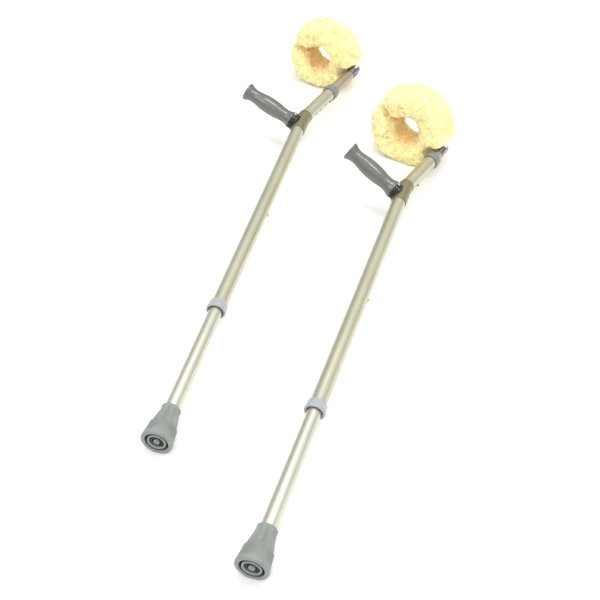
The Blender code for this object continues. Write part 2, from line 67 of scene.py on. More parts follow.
# Sizes shared with the CAD model.
MAIN_R, MAIN_BORE_R = 12.7, 11.45
INNER_R, INNER_BORE_R = 11.1, 9.8
HOLE_R = 3.4
FERRULE_TOP, FLUTES, FLUTE_DEPTH, FLUTE_LOW, FLUTE_HIGH = 64.0, 12, 2.1, 29.0, 62.0
MAIN_BOTTOM, COLLAR_BOTTOM, COLLAR_TOP = 278.0, 273.0, 291.0
LEG_TOP, LEG_PITCH = 574.0, 25.4
HANDLE_Z, BEND_Z = 801.0, 824.0
BEND_ANGLE, BEND_RADIUS = math.radians(14.0), 80.0
HANDLE_RISE = math.radians(12.6)
UPPER_BOTTOM, UPPER_TOP, MAIN_END = 111.0, 131.0, 126.0
LOWEST_HOLE, FOREARM_PITCH = 34.5, 20.0
TUBE_BELOW, TUBE_ABOVE, PIVOT_ABOVE_TUBE = 12.0, 108.0, 27.0
CUFF_FORWARD, CUFF_ABOVE_PIVOT = 79.0, 9.0
BAND_R, BAND_THICKNESS, BAND_HALF_WIDTH = 44.5, 2.5, 22.0
FLEECE_OFFSET = np.array((-5.0, -5.0, -9.0))
FLEECE_BORE_R, FLEECE_HALF_WIDTH, FLEECE_BACK = 27.0, 38.0, 61.5
BACK_SLOPE = math.tan(math.radians(9.0))
MAIN_REST_OFFSET = 17.0

# The sheepskins' looks: how far each starts inside the CAD ring, where its wool parts (two ends and
# a reach), how far the wool may stand past the CAD node's box (metres), and the number of locks.
FLEECE_TRIM = {"left": 4.5, "right": 0.5}
PARTINGS = {
    "left": ((-62.0, 36.0, -18.0), (-64.0, 18.0, 8.0), 4.0),
    "right": ((-57.0, 52.0, 2.0), (-57.0, 48.0, 12.0), 3.0),
}
WOOL_SLACK = np.array((0.010, 0.008, 0.006))
LOCK_COUNT, LOCK_STEPS = 3600, 4

# The photograph's view: where the camera stands (metres), its directions and its lens (mm).
CAMERA_PLACE = (0.469669, -1.382187, 1.2173)
CAMERA_LOOK, CAMERA_UP = (-0.2304, 0.7054, -0.6703), (-0.1968, 0.6409, 0.742)
CAMERA_LENS, CAMERA_SENSOR = 65.63, 36.0


# ---------------- frames

def axes_matrix(x, z, origin):
    """A frame with the given X and Z directions; origin in metres."""
    z = Vector(z).normalized()
    x = (Vector(x) - z * Vector(x).dot(z)).normalized()
    y = z.cross(x)
    matrix = Matrix((x, y, z)).transposed().to_4x4()
    matrix.translation = Vector(origin)
    return matrix


def crutch_frames(side):
    """Frames of one crutch: shaft, forearm, handle and cuff, with the heights that differ."""
    x = Vector(JOINTS[f"{side}_leg_button_press"]["axis"]).normalized()
    z = Vector(JOINTS[f"{side}_leg_slide"]["axis"]).normalized()
    foot = Vector(MOUNTS[f"{side}_ferrule_base"]["pos_m"]) - x * MAIN_REST_OFFSET * MM
    shaft = axes_matrix(x, z, foot)
    forearm_x = JOINTS[f"{side}_forearm_button_press"]["axis"]
    forearm_z = JOINTS[f"{side}_forearm_slide"]["axis"]
    forearm = axes_matrix(forearm_x, forearm_z, shaft @ Vector((0, 0, BEND_Z * MM)))
    rise = Matrix.Rotation(math.pi / 2 - HANDLE_RISE, 4, "Y")
    handle = shaft @ Matrix.Translation((0, 0, HANDLE_Z * MM)) @ rise
    pivot = Vector(JOINTS[f"{side}_cuff_hinge"]["pos_m"])
    pivot_s = (forearm.inverted() @ pivot).z / MM
    hinge = axes_matrix(forearm_x, forearm_z, pivot)
    cuff = hinge @ Matrix.Translation((CUFF_FORWARD * MM, 0, CUFF_ABOVE_PIVOT * MM))
    button_s = pivot_s - TUBE_ABOVE - PIVOT_ABOVE_TUBE
    return {
        "shaft": shaft, "forearm": forearm, "handle": handle, "cuff": cuff,
        "pivot_s": pivot_s, "button_s": button_s,
    }


# ---------------- materials

def new_material(name, colour, roughness, metallic=0.0, **sockets):
    """A Principled material; sockets are extra values set straight on the shader."""
    material = bpy.data.materials.new(name)
    material.use_nodes = True
    shader = material.node_tree.nodes["Principled BSDF"]
    shader.inputs["Base Color"].default_value = (*colour, 1.0)
    shader.inputs["Roughness"].default_value = roughness
    shader.inputs["Metallic"].default_value = metallic
    for socket, value in sockets.items():
        shader.inputs[socket.replace("_", " ")].default_value = value
    return material


def add_node(tree, kind, inputs=None, **settings):
    """A shader node; each input takes another node's output, a number, a vector or a colour."""
    node = tree.nodes.new(kind)
    for name, value in settings.items():
        setattr(node, name, value)
    for key, value in (inputs or {}).items():
        socket = node.inputs[key]
        if isinstance(value, bpy.types.NodeSocket):
            tree.links.new(value, socket)
        elif socket.type == "RGBA":
            socket.default_value = (*value, 1.0)
        else:
            socket.default_value = value
    return node


def noise(tree, scale, detail=3.0, stretch=(1.0, 1.0, 1.0), rough=0.5):
    """Noise in the piece's own coordinates (metres), scaled per axis."""
    source = add_node(tree, "ShaderNodeTexCoord")
    point = add_node(tree, "ShaderNodeMapping", {"Vector": source.outputs["Object"], "Scale": stretch})
    node = add_node(tree, "ShaderNodeTexNoise", {
        "Vector": point.outputs["Vector"], "Scale": scale, "Detail": detail, "Roughness": rough,
    })
    return node.outputs["Fac"]


def ramp(tree, source, stops):
    """A colour ramp of (position, colour) stops."""
    node = add_node(tree, "ShaderNodeValToRGB", {"Fac": source})
    elements = node.color_ramp.elements
    while len(elements) < len(stops):
        elements.new(0.5)
    for element, (position, colour) in zip(elements, stops):
        element.position = position
        element.color = (*colour, 1.0)
    return node.outputs["Color"]


def spread(tree, source, low, high):
    """Map a 0 to 1 value onto low to high."""
    node = add_node(tree, "ShaderNodeMapRange", {"Value": source, "To Min": low, "To Max": high})
    return node.outputs["Result"]


def math_node(tree, operation, a, b):
    return add_node(tree, "ShaderNodeMath", {0: a, 1: b}, operation=operation).outputs["Value"]


def blend(tree, a, b, share):
    """The given share of one value and the rest of another."""
    parts = math_node(tree, "MULTIPLY", a, share), math_node(tree, "MULTIPLY", b, 1.0 - share)
    return math_node(tree, "ADD", *parts)


def mixed(tree, factor, a, b):
    """One colour turning into another."""
    node = add_node(tree, "ShaderNodeMix", {"Factor": factor, 6: a, 7: b}, data_type="RGBA")
    return node.outputs[2]


def drive(tree, **sources):
    """Link outputs to the Principled shader's sockets."""
    for socket, source in sources.items():
        tree.links.new(source, tree.nodes["Principled BSDF"].inputs[socket.replace("_", " ")])


def bump(tree, source, strength, distance_mm):
    node = add_node(tree, "ShaderNodeBump", {
        "Height": source, "Strength": strength, "Distance": distance_mm * MM,
    })
    drive(tree, Normal=node.outputs["Normal"])


def tube_material(name, light, dark, roughness):
    """Satin anodised tube: fine lines drawn along it, cloudy tone, small handling marks."""
    material = new_material(name, light, roughness, 0.8)
    tree = material.node_tree
    lines = noise(tree, 900.0, 2.0, (1.0, 1.0, 0.012))
    clouds = noise(tree, 26.0, 3.0, (1.0, 1.0, 0.35))
    marks = noise(tree, 210.0, 5.0, (1.0, 1.0, 0.5), 0.7)
    tone = blend(tree, lines, clouds, 0.45)
    wear = blend(tree, marks, lines, 0.6)
    drive(
        tree, Base_Color=ramp(tree, tone, [(0.32, dark), (0.66, light)]),
        Roughness=spread(tree, wear, roughness - 0.10, roughness + 0.12),
    )
    bump(tree, lines, 0.25, 0.05)
    return material


def moulded_material(name, light, dark, roughness, grain_mm, grain_depth, **sockets):
    """Moulded plastic or rubber: soft mottling, fine grain, and darkening where the mesh says so (painted shade in
    grooves, a darker band).
    """
    material = new_material(name, light, roughness, **sockets)
    tree = material.node_tree
    clouds = noise(tree, 45.0, 4.0)
    grain = noise(tree, 1.0 / (grain_mm * MM), 2.0)
    smears = noise(tree, 120.0, 5.0, rough=0.65)
    # Darkening read from the mesh: painted shade in the ferrule's grooves, and a darker band on its wall.
    groove_shade_and_dark_band = add_node(tree, "ShaderNodeAttribute", attribute_name="groove_shade_and_dark_band")
    undarkened = ramp(tree, blend(tree, clouds, grain, 0.6), [(0.35, dark), (0.65, light)])
    drive(
        tree, Base_Color=mixed(tree, groove_shade_and_dark_band.outputs["Fac"], undarkened, tuple(0.12 * c for c in dark)),
        Roughness=spread(tree, smears, roughness - 0.12, roughness + 0.12),
    )
    bump(tree, grain, 0.35, grain_depth)
    return material


def metal_material(name, light, dark, roughness):
    """Plated or polished small metal: hairline scratches and tarnish in patches."""
    material = new_material(name, light, roughness, 1.0)
    tree = material.node_tree
    scratches = noise(tree, 700.0, 2.0, (1.0, 0.08, 1.0))
    tarnish = noise(tree, 160.0, 4.0)
    drive(
        tree, Base_Color=ramp(tree, tarnish, [(0.38, dark), (0.62, light)]),
        Roughness=spread(tree, scratches, roughness - 0.07, roughness + 0.12),
    )
    bump(tree, scratches, 0.2, 0.03)
    return material


def wool_material(name, shaded_root, middle, tip):
    """Sheepskin pile: colour runs from the skin end of the pile to its tips; the darker end also stands as painted
    shade in the bore, along the creases and between the lumps.
    """
    material = new_material(
        name, tip, 1.0, Sheen_Weight=0.15, Sheen_Roughness=0.6, Subsurface_Weight=0.5,
        Subsurface_Radius=(1.0, 0.75, 0.4), Subsurface_Scale=0.006,
    )
    tree = material.node_tree
    depth_and_shade = add_node(tree, "ShaderNodeAttribute", attribute_name="pile_and_shade")
    strands = noise(tree, 420.0, 4.0, rough=0.65)
    patches = noise(tree, 38.0, 3.0)
    pile_and_shade = math_node(tree, "ADD", depth_and_shade.outputs["Fac"], spread(tree, strands, -0.16, 0.16))
    base = ramp(tree, pile_and_shade, [(0.0, shaded_root), (0.38, middle), (0.8, tip)])
    faded = spread(tree, patches, 0.0, 0.3)
    drive(tree, Base_Color=mixed(tree, faded, base, (0.90, 0.80, 0.49)))
    bump(tree, strands, 0.6, 0.8)
    return material


# ---------------- mesh helpers

def new_object(name, data):
    made = bpy.data.objects.new(name, data)
    bpy.context.scene.collection.objects.link(made)
    return made


def add_piece(name, verts, faces, matrix, material, body, replaces=(), slot=None, sharp=38.0):
    """A smooth-shaded piece from points in millimetres, placed by a frame and riding on a body."""
    mesh = bpy.data.meshes.new(name)
    mesh.from_pydata((np.asarray(verts, float) * MM).tolist(), [], faces)
    mesh.update()
    mesh.shade_smooth()
    mesh.set_sharp_from_angle(angle=math.radians(sharp))
    piece = new_object(name, mesh)
    piece.matrix_world = matrix
    mesh.materials.append(material)
    settle(piece, body, replaces)
    return piece


def settle(piece, body, replaces=()):
    if body is not None:
        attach(piece, body)
    if replaces:
        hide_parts(*replaces)


def rounded(outline, radius=0.5, steps=3, closed=True):
    """Round an outline's corners; points on the axis stay."""
    points = [Vector(p) for p in outline]
    count = len(points)
    made = []
    for i, point in enumerate(points):
        ends = not closed and i in (0, count - 1)
        before, after = points[i - 1], points[(i + 1) % count]
        into, out = (before - point), (after - point)
        if ends or into.length < 1e-6 or out.length < 1e-6:
            made.append(point)
            continue
        turn = into.angle(out)
        if turn > math.radians(165.0):
            made.append(point)
            continue
        reach = min(radius / math.tan(turn / 2), 0.45 * into.length, 0.45 * out.length)
        a = point + into.normalized() * reach
        b = point + out.normalized() * reach
        for k in range(steps + 1):
            t = k / steps
            made.append(a * (1 - t) ** 2 + point * 2 * t * (1 - t) + b * t ** 2)
    return [(max(p.x, 0.0), p.y) for p in made]


def lathe(outline, sides=64, closed=True, shape=None):
    """Points and faces of an (r, z) outline turned about Z. shape(r, z, angle) may change r."""
    verts, rings = [], []
    for r, z in outline:
        if r < 1e-6:
            rings.append([len(verts)] * sides)
            verts.append((0.0, 0.0, z))
            continue
        ring = []
        for k in range(sides):
            angle = 2 * math.pi * k / sides
            radius = shape(r, z, angle) if shape else r
            ring.append(len(verts))
            verts.append((radius * math.cos(angle), radius * math.sin(angle), z))
        rings.append(ring)
    return outward(verts, skin(rings, closed))


def turned(outline, radius, sides, steps=3, closed=True):
    """An outline with its corners rounded, turned about Z."""
    return lathe(rounded(outline, radius, steps, closed), sides, closed)


def across(y, z):
    """Lays a turned piece along Y at a height."""
    return Matrix.Translation((0, y, z)) @ Matrix.Rotation(math.pi / 2, 4, "X")


def skin(rings, closed=False):
    """Faces between rings of point numbers; a ring of one repeated number is a tip."""
    faces = []
    pairs = list(zip(rings, rings[1:]))
    if closed:
        pairs.append((rings[-1], rings[0]))
    for a, b in pairs:
        for k in range(len(a)):
            n = (k + 1) % len(a)
            corners = []
            for v in (a[k], a[n], b[n], b[k]):
                if v not in corners:
                    corners.append(v)
            if len(corners) > 2:
                faces.append(corners)
    return faces


def closed_run(verts, size):
    """A run of rings, each of the given number of points, with both ends closed."""
    rings = [list(range(i, i + size)) for i in range(0, len(verts), size)]
    return outward(verts, skin(rings) + [rings[0], rings[-1][::-1]])


def outward(verts, faces):
    """Turn the faces to point out, by the sign of the enclosed volume."""
    points = np.asarray(verts, float)
    volume = 0.0
    for face in faces:
        a = points[face[0]]
        for b, c in zip(face[1:], face[2:]):
            volume += float(np.dot(a, np.cross(points[b], points[c])))
    if volume < 0:
        faces = [list(reversed(face)) for face in faces]
    return verts, faces


def moved(shape, matrix):
    verts, faces = shape
    return [tuple(matrix @ Vector(v)) for v in verts], faces


def shaft_path(z0, end, steps=14):
    """Points and lean angles of the main tube's axis, round the bend."""
    tangent = BEND_RADIUS * math.tan(BEND_ANGLE / 2)
    path = [(Vector((0, 0, z0)), 0.0)]
    for i in range(steps + 1):
        angle = BEND_ANGLE * i / steps
        path.append((Vector((
            BEND_RADIUS * (math.cos(angle) - 1.0), 0.0,
            BEND_Z - tangent + BEND_RADIUS * math.sin(angle),
        )), angle))
    lean = Vector((-math.sin(BEND_ANGLE), 0.0, math.cos(BEND_ANGLE)))
    path.append((Vector((0, 0, BEND_Z)) + lean * end, BEND_ANGLE))
    return path


def swept(path, section, sides=64):
    """A closed section of (radius, shift along the path) points, one ring per path point."""
    verts, rings = [], []
    for radius, index, shift in section:
        point, angle = path[index]
        sideways = Vector((math.cos(angle), 0.0, math.sin(angle)))
        along = Vector((-math.sin(angle), 0.0, math.cos(angle)))
        ring = []
        for k in range(sides):
            turn = 2 * math.pi * k / sides
            offset = sideways * math.cos(turn) + Vector((0, 1, 0)) * math.sin(turn)
            ring.append(len(verts))
            verts.append(tuple(point + offset * radius + along * shift))
        rings.append(ring)
    return outward(verts, skin(rings, closed=True))


def sleeve_section(path, outer, inner, lip=0.4):
    """Section of a tube along a path with slightly rounded ends."""
    last = len(path) - 1
    out = [(outer - lip, 0, 0.0), (outer, 0, lip)]
    out += [(outer, i, 0.0) for i in range(1, last)]
    out += [(outer, last, -lip), (outer - lip, last, 0.0)]
    back = [(inner + lip, last, 0.0), (inner, last, -lip)]
    back += [(inner, i, 0.0) for i in range(last - 1, 0, -1)]
    back += [(inner, 0, lip), (inner + lip, 0, 0.0)]
    return out + back


def block(x, y, z):
    verts = [(a, b, c) for a in x for b in y for c in z]
    faces = [[0, 1, 3, 2], [4, 6, 7, 5], [0, 4, 5, 1], [2, 3, 7, 6], [0, 2, 6, 4], [1, 5, 7, 3]]
    return outward(verts, faces)


def carve(piece, cutters, bevel=0.0):
    """Cut shapes (points and faces in the piece's own frame) out of a piece one by one, then bevel."""
    made = []
    for verts, faces in cutters:
        mesh = bpy.data.meshes.new("cutter")
        mesh.from_pydata((np.asarray(verts, float) * MM).tolist(), [], faces)
        cutter = new_object("cutter", mesh)
        cutter.matrix_world = piece.matrix_world
        modifier = piece.modifiers.new("cut", "BOOLEAN")
        modifier.operation = "DIFFERENCE"
        modifier.object = cutter
        made.append(cutter)
    if bevel:
        edge = piece.modifiers.new("edge", "BEVEL")
        edge.width = bevel * MM
        edge.segments = 2
        edge.limit_method = "ANGLE"
        edge.angle_limit = math.radians(40.0)
    apply_modifiers(piece)
    for cutter in made:
        bpy.data.objects.remove(cutter, do_unlink=True)
    piece.data.shade_smooth()
    piece.data.set_sharp_from_angle(angle=math.radians(32.0))


def apply_modifiers(piece):
    bpy.context.view_layer.update()
    graph = bpy.context.evaluated_depsgraph_get()
    piece.data = bpy.data.meshes.new_from_object(piece.evaluated_get(graph))
    piece.modifiers.clear()


def rod(radius, low, high, sides):
    return lathe([(0.0, low), (radius, low), (radius, high), (0.0, high)], sides, closed=False)


def pin_row(matrix, heights, low, high):
    """Hole cutters across the tube's back wall, at heights along the given local frame."""
    lies = [matrix @ Matrix.Translation((0, 0, height)) @ BUTTON_LIE for height in heights]
    return [moved(rod(HOLE_R, low, high, 28), lie) for lie in lies]


FOREARM_IN_SHAFT = Matrix.Translation((0, 0, BEND_Z)) @ Matrix.Rotation(-BEND_ANGLE, 4, "Y")
BUTTON_LIE = Matrix.Rotation(-math.pi / 2, 4, "Y")


class Crutch:
    """One crutch: its side, its frames, and a short way to add one of its pieces."""

    def __init__(self, side, looks):
        self.side = side
        self.looks = looks
        self.frames = crutch_frames(side)

    def add(self, name, shape, at, look, body, node, slot, **extra):
        """A piece in the frame called at, riding a body and standing for a CAD node, if any."""
        side = self.side
        return add_piece(
            f"{side}_{name}", *shape, self.frames[at], self.looks[look], f"{side}_{body}",
            [f"{side}_{node}"] if node else [], slot, **extra,
        )


# ---------------- leg and ferrule

def ferrule_shape(r, z, angle):
    """Broad flutes on the upper cone, fading at both ends."""
    if r < 13.0 or not FLUTE_LOW < z < FLUTE_HIGH:
        return r
    fade = min(1.0, (z - FLUTE_LOW) / 3.0, (FLUTE_HIGH - z) / 5.0)
    wave = 0.5 - 0.5 * math.cos(FLUTES * angle)
    return r - FLUTE_DEPTH * fade * (1.0 - wave ** 5)


def inner_tube(low, top):
    outline = [(INNER_BORE_R, low), (INNER_R, low), (INNER_R, top), (INNER_BORE_R, top)]
    return turned(outline, 0.3, 72)


def build_leg(crutch):
    outer = [
        (22.9, 0.0), (24.0, 0.7), (24.3, 2.0), (24.3, 3.4), (23.4, 9.0), (21.9, 19.0), (21.5, 27.4),
        (21.1, 28.1), (20.0, 28.6),
    ]
    cone = [(19.9 - 4.8 * (z - FLUTE_LOW) / 25.0, z) for z in np.linspace(29.4, 53.5, 16)]
    neck = [(15.0, 56.0), (14.6, 58.5), (14.5, 60.5), (14.9, 61.6), (14.9, 63.0), (14.3, FERRULE_TOP)]
    mouth = [(12.1, FERRULE_TOP), (11.4, 63.0), (11.4, 10.0), (0.0, 10.0)]
    base = [
        (0.0, 1.4), (1.6, 1.4), (2.0, 0.5), (4.6, 0.5), (5.0, 4.6), (7.0, 4.8), (7.3, 2.0), (8.6, 2.0),
        (8.9, 4.8), (11.0, 4.8), (11.4, 0.35), (14.3, 0.35), (14.7, 6.0), (17.8, 6.0), (18.2, 0.0),
    ]
    profile = rounded(base, 0.35, 2, closed=False) + outer + cone + neck + mouth
    foot = crutch.add(
        "ferrule_rubber", lathe(profile, 144, closed=False, shape=ferrule_shape), "shaft", "rubber",
        "leg", "ferrule", "rubber", sharp=50.0,
    )
    at = points_of(foot.data) / MM
    around = np.hypot(at[:, 0], at[:, 1])
    # Painted shade deep in the base's grooves, and a darker band on the outer wall from the rim up to the step.
    grooves = (around < 18.0) & (at[:, 2] < 8.0)
    band = (around > 18.0) * ease(at[:, 2], 3.0, 6.0) * (1.0 - ease(at[:, 2], 26.0, 29.0))
    store(foot.data, "groove_shade_and_dark_band", grooves * ease(at[:, 2], 0.6, 2.6) + 0.2 * band)
    washer = turned([(4.0, 10.3), (10.8, 10.3), (10.8, 12.3), (4.0, 12.3)], 0.3, 48)
    crutch.add("ferrule_disc", washer, "shaft", "steel", "leg", "ferrule_washer", "steel")
    drawn = inner_tube(12.7, LEG_TOP)
    tube = crutch.add("leg_tube_drawn", drawn, "shaft", "leg", "leg", "leg_tube", "aluminium")
    height = button_height(crutch.side)
    carve(tube, pin_row(Matrix.Identity(4), [height], 6.0, 18.0))
    plug = turned([
        (0.0, LEG_TOP - 8.0), (9.4, LEG_TOP - 8.0), (9.4, LEG_TOP + 0.3), (INNER_R, LEG_TOP + 0.3),
        (INNER_R - 0.6, LEG_TOP + 3.0), (0.0, LEG_TOP + 3.0),
    ], 0.4, 48, closed=False)
    crutch.add("leg_plug", plug, "shaft", "nylon", "leg", "leg_tube_plug", "nylon")
    build_clip(crutch, "leg", "shaft", height)


def button_height(side):
    """Height of the leg's button in the shaft's frame."""
    low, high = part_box(f"{side}_leg_button")
    centre = (low + high) / 2
    x, z = (Vector(JOINTS[f"{side}_{n}"]["axis"]) for n in ("leg_button_press", "leg_slide"))
    foot = Vector(MOUNTS[f"{side}_ferrule_base"]["pos_m"]) - x * MAIN_REST_OFFSET * MM
    return (centre - foot).dot(z) / MM


def build_clip(crutch, part, at, height):
    """Snap clip: a domed brass button on a bent spring strip."""
    dome = turned([
        (0.0, 7.7), (4.0, 7.7), (4.0, 8.7), (3.0, 8.7), (3.0, 13.4), (2.5, 14.7), (1.3, 15.4),
        (0.0, 15.4),
    ], 0.45, 40, closed=False)
    dome = moved(dome, Matrix.Translation((0, 0, height)) @ BUTTON_LIE)
    crutch.add(f"{part}_button_dome", dome, at, "brass", f"{part}_button", f"{part}_button", "brass")
    back, front, thick = -7.4, 8.6, 0.7
    line = [(back, -6.0), (back, 5.3)]
    line += [(back + 8.2 * t ** 1.3, 5.3 + 27.5 * t) for t in np.linspace(0.12, 1.0, 9)]
    line += [(2.2 + 0.6 * math.sin(a), 33.2 + 0.8 * math.cos(a)) for a in np.linspace(-1.2, 1.2, 5)]
    line += [(front - thick - 5.2 * t ** 1.2, 2.6 + 28.0 * t) for t in np.linspace(1.0, 0.1, 9)]
    line += [(front - thick, 2.4), (front - thick, -6.0)]
    points = np.asarray(line)
    tangent = np.gradient(points, axis=0)
    tangent /= np.linalg.norm(tangent, axis=1)[:, None]
    normal = np.stack([-tangent[:, 1], tangent[:, 0]], 1)
    verts = []
    for (x, z), (nx, nz) in zip(points, normal):
        for s, w in ((-1, -4.0), (-1, 4.0), (1, 4.0), (1, -4.0)):
            verts.append((x + s * nx * thick / 2, w, height + z + s * nz * thick / 2))
    strip = crutch.add(
        f"{part}_spring_strip", closed_run(verts, 4), at, "steel", part, f"{part}_spring", "steel",
    )
    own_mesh(strip)


# ---------------- main tube, collars, handle

def build_main(crutch):
    path = shaft_path(MAIN_BOTTOM, MAIN_END)
    tube = crutch.add(
        "main_tube_bent", swept(path, sleeve_section(path, MAIN_R, MAIN_BORE_R), 80), "shaft",
        "aluminium", "main", "main_tube", "aluminium",
    )
    leg_button = button_height(crutch.side)
    heights = [leg_button + LEG_PITCH * i for i in range(-4, 3)]
    pins = pin_row(Matrix.Identity(4), heights, 8.0, 18.0)
    forearm_heights = [LOWEST_HOLE + FOREARM_PITCH * i for i in range(4)]
    pins += pin_row(FOREARM_IN_SHAFT, forearm_heights, 8.0, 18.0)
    carve(tube, pins)

    lower = turned([
        (INNER_R + 0.5, COLLAR_BOTTOM + 3.6), (12.9, COLLAR_BOTTOM + 0.5), (13.5, COLLAR_BOTTOM),
        (15.4, COLLAR_BOTTOM), (16.3, COLLAR_BOTTOM + 1.6), (16.3, COLLAR_BOTTOM + 6.0),
        (15.9, COLLAR_BOTTOM + 7.5), (15.3, COLLAR_TOP - 4.5), (15.1, COLLAR_TOP - 1.0),
        (14.4, COLLAR_TOP), (13.0, COLLAR_TOP),
        (13.0, MAIN_BOTTOM - 0.3), (INNER_R + 0.5, MAIN_BOTTOM - 0.3),
    ], 0.8, 96, 4)
    upper = turned([
        (13.0, UPPER_BOTTOM), (14.2, UPPER_BOTTOM), (15.2, UPPER_BOTTOM + 1.6),
        (15.5, UPPER_BOTTOM + 9.0), (15.2, UPPER_BOTTOM + 14.0), (14.9, UPPER_TOP - 3.0),
        (13.2, UPPER_TOP), (INNER_R + 0.5, UPPER_TOP), (INNER_R + 0.5, MAIN_END + 0.3),
        (13.0, MAIN_END + 0.3),
    ], 0.8, 96, 4)
    for name, shape, at, look in (
        ("lower_collar", lower, "shaft", "collar"), ("upper_collar", upper, "forearm", "collar_painted_shade"),
    ):
        crutch.add(f"{name}_moulded", shape, at, look, "main", name, "collar_plastic")


def solid_shaft(radius, sides=64):
    """A solid along the bent shaft, in the shaft's frame."""
    path = shaft_path(HANDLE_Z - 60.0, 60.0)
    count = len(path)
    verts, faces = swept(path, [(radius, i, 0.0) for i in range(count)], sides)
    faces = faces[:-sides]
    faces += [list(range(sides - 1, -1, -1)), list(range((count - 1) * sides, count * sides))]
    return outward(verts, faces)


def build_handle(crutch):
    shaft, handle = crutch.frames["shaft"], crutch.frames["handle"]
    path = shaft_path(HANDLE_Z - 20.0, 12.0)
    crutch.add(
        "saddle_sleeve", swept(path, sleeve_section(path, 13.9, 13.0, 0.35), 80), "shaft", "olive",
        "main", "handle_saddle", "olive_aluminium",
    )
    into_handle = handle.inverted() @ shaft
    into_handle.translation = into_handle.translation / MM
    saddle = moved(solid_shaft(14.2), into_handle)

    core = crutch.add(
        "handle_core_tube", turned([(8.0, 8.0), (9.5, 8.0), (9.5, 116.0), (8.0, 116.0)], 0.3, 64),
        "handle", "aluminium", "main", "handle_core", "aluminium",
    )
    carve(core, [saddle])
    ring = turned([
        (9.8, 8.0), (15.2, 8.0), (16.4, 9.4), (16.4, 12.4), (15.5, 12.9), (15.5, 13.7),
        (16.4, 14.2), (16.4, 18.3), (15.6, 19.5), (9.8, 19.5),
    ], 0.5, 80)
    flange = crutch.add("root_flange", ring, "handle", "black", "main", "handle_flange", "black_plastic")
    carve(flange, [saddle])
    pin = turned([
        (0.0, -17.9), (1.6, -17.7), (2.4, -16.9), (2.4, -16.6), (1.5, -16.5), (1.5, 16.5),
        (2.4, 16.6), (2.4, 16.9), (1.6, 17.7), (0.0, 17.9),
    ], 0.2, 32, closed=False)
    pin = moved(pin, across(0, 16.9))
    crutch.add("handle_rivet_domed", pin, "handle", "steel", "main", "handle_rivet", "steel")
    start, end = 19.8, 123.0
    knots = np.array([
        (start, 16.8), (21.5, 16.6), (24.0, 15.4), (28.5, 13.9), (35.0, 13.1), (41.5, 13.4),
        (52.0, 15.0), (62.0, 15.9), (72.0, 16.1), (83.0, 15.6), (94.0, 14.0), (101.0, 13.1),
        (107.0, 13.1), (113.5, 14.2), (118.5, 16.4), (121.5, 17.4), (end, 17.5),
    ])
    z = np.linspace(start, end, 96)
    r = smooth_through(knots[:, 0], knots[:, 1], z)
    side_line = list(zip(r, z))
    grip = [(9.8, start + 0.4), (16.2, start)] + side_line[1:-1] + [(17.0, end), (16.2, end + 0.25)]
    grip += [(13.5, end + 0.1), (10.2, end - 0.5), (9.8, end - 1.2)]
    crutch.add(
        "grip_contoured", lathe(grip, 96, shape=grip_shape), "handle", "grip", "main", "hand_grip",
        "grip_plastic", sharp=50.0,
    )
    plug = turned([
        (0.0, 108.0), (7.7, 108.0), (7.7, 116.3), (9.5, 116.3), (9.5, 121.8), (8.8, 122.6),
        (3.0, 122.9), (2.2, 122.0), (0.0, 122.0),
    ], 0.3, 64, closed=False)
    crutch.add("handle_plug_disc", plug, "handle", "grip", "main", "handle_end_plug", "grip_plastic")


def smooth_through(x, y, at):
    """Smooth curve through points (finite-difference cubic)."""
    slope = np.gradient(y, x)
    i = np.clip(np.searchsorted(x, at) - 1, 0, len(x) - 2)
    h = x[i + 1] - x[i]
    t = (at - x[i]) / h
    a, b, c, d = (1 + 2 * t) * (1 - t) ** 2, t * (1 - t) ** 2, t * t * (3 - 2 * t), t * t * (t - 1)
    return a * y[i] + b * h * slope[i] + c * y[i + 1] + d * h * slope[i + 1]


def grip_shape(r, z, angle):
    """Hardly visible mould lines along both sides of the grip."""
    if r < 12.0:
        return r
    return r + 0.12 * math.exp(-(math.sin(angle) / 0.035) ** 2)


# ---------------- forearm section and fork

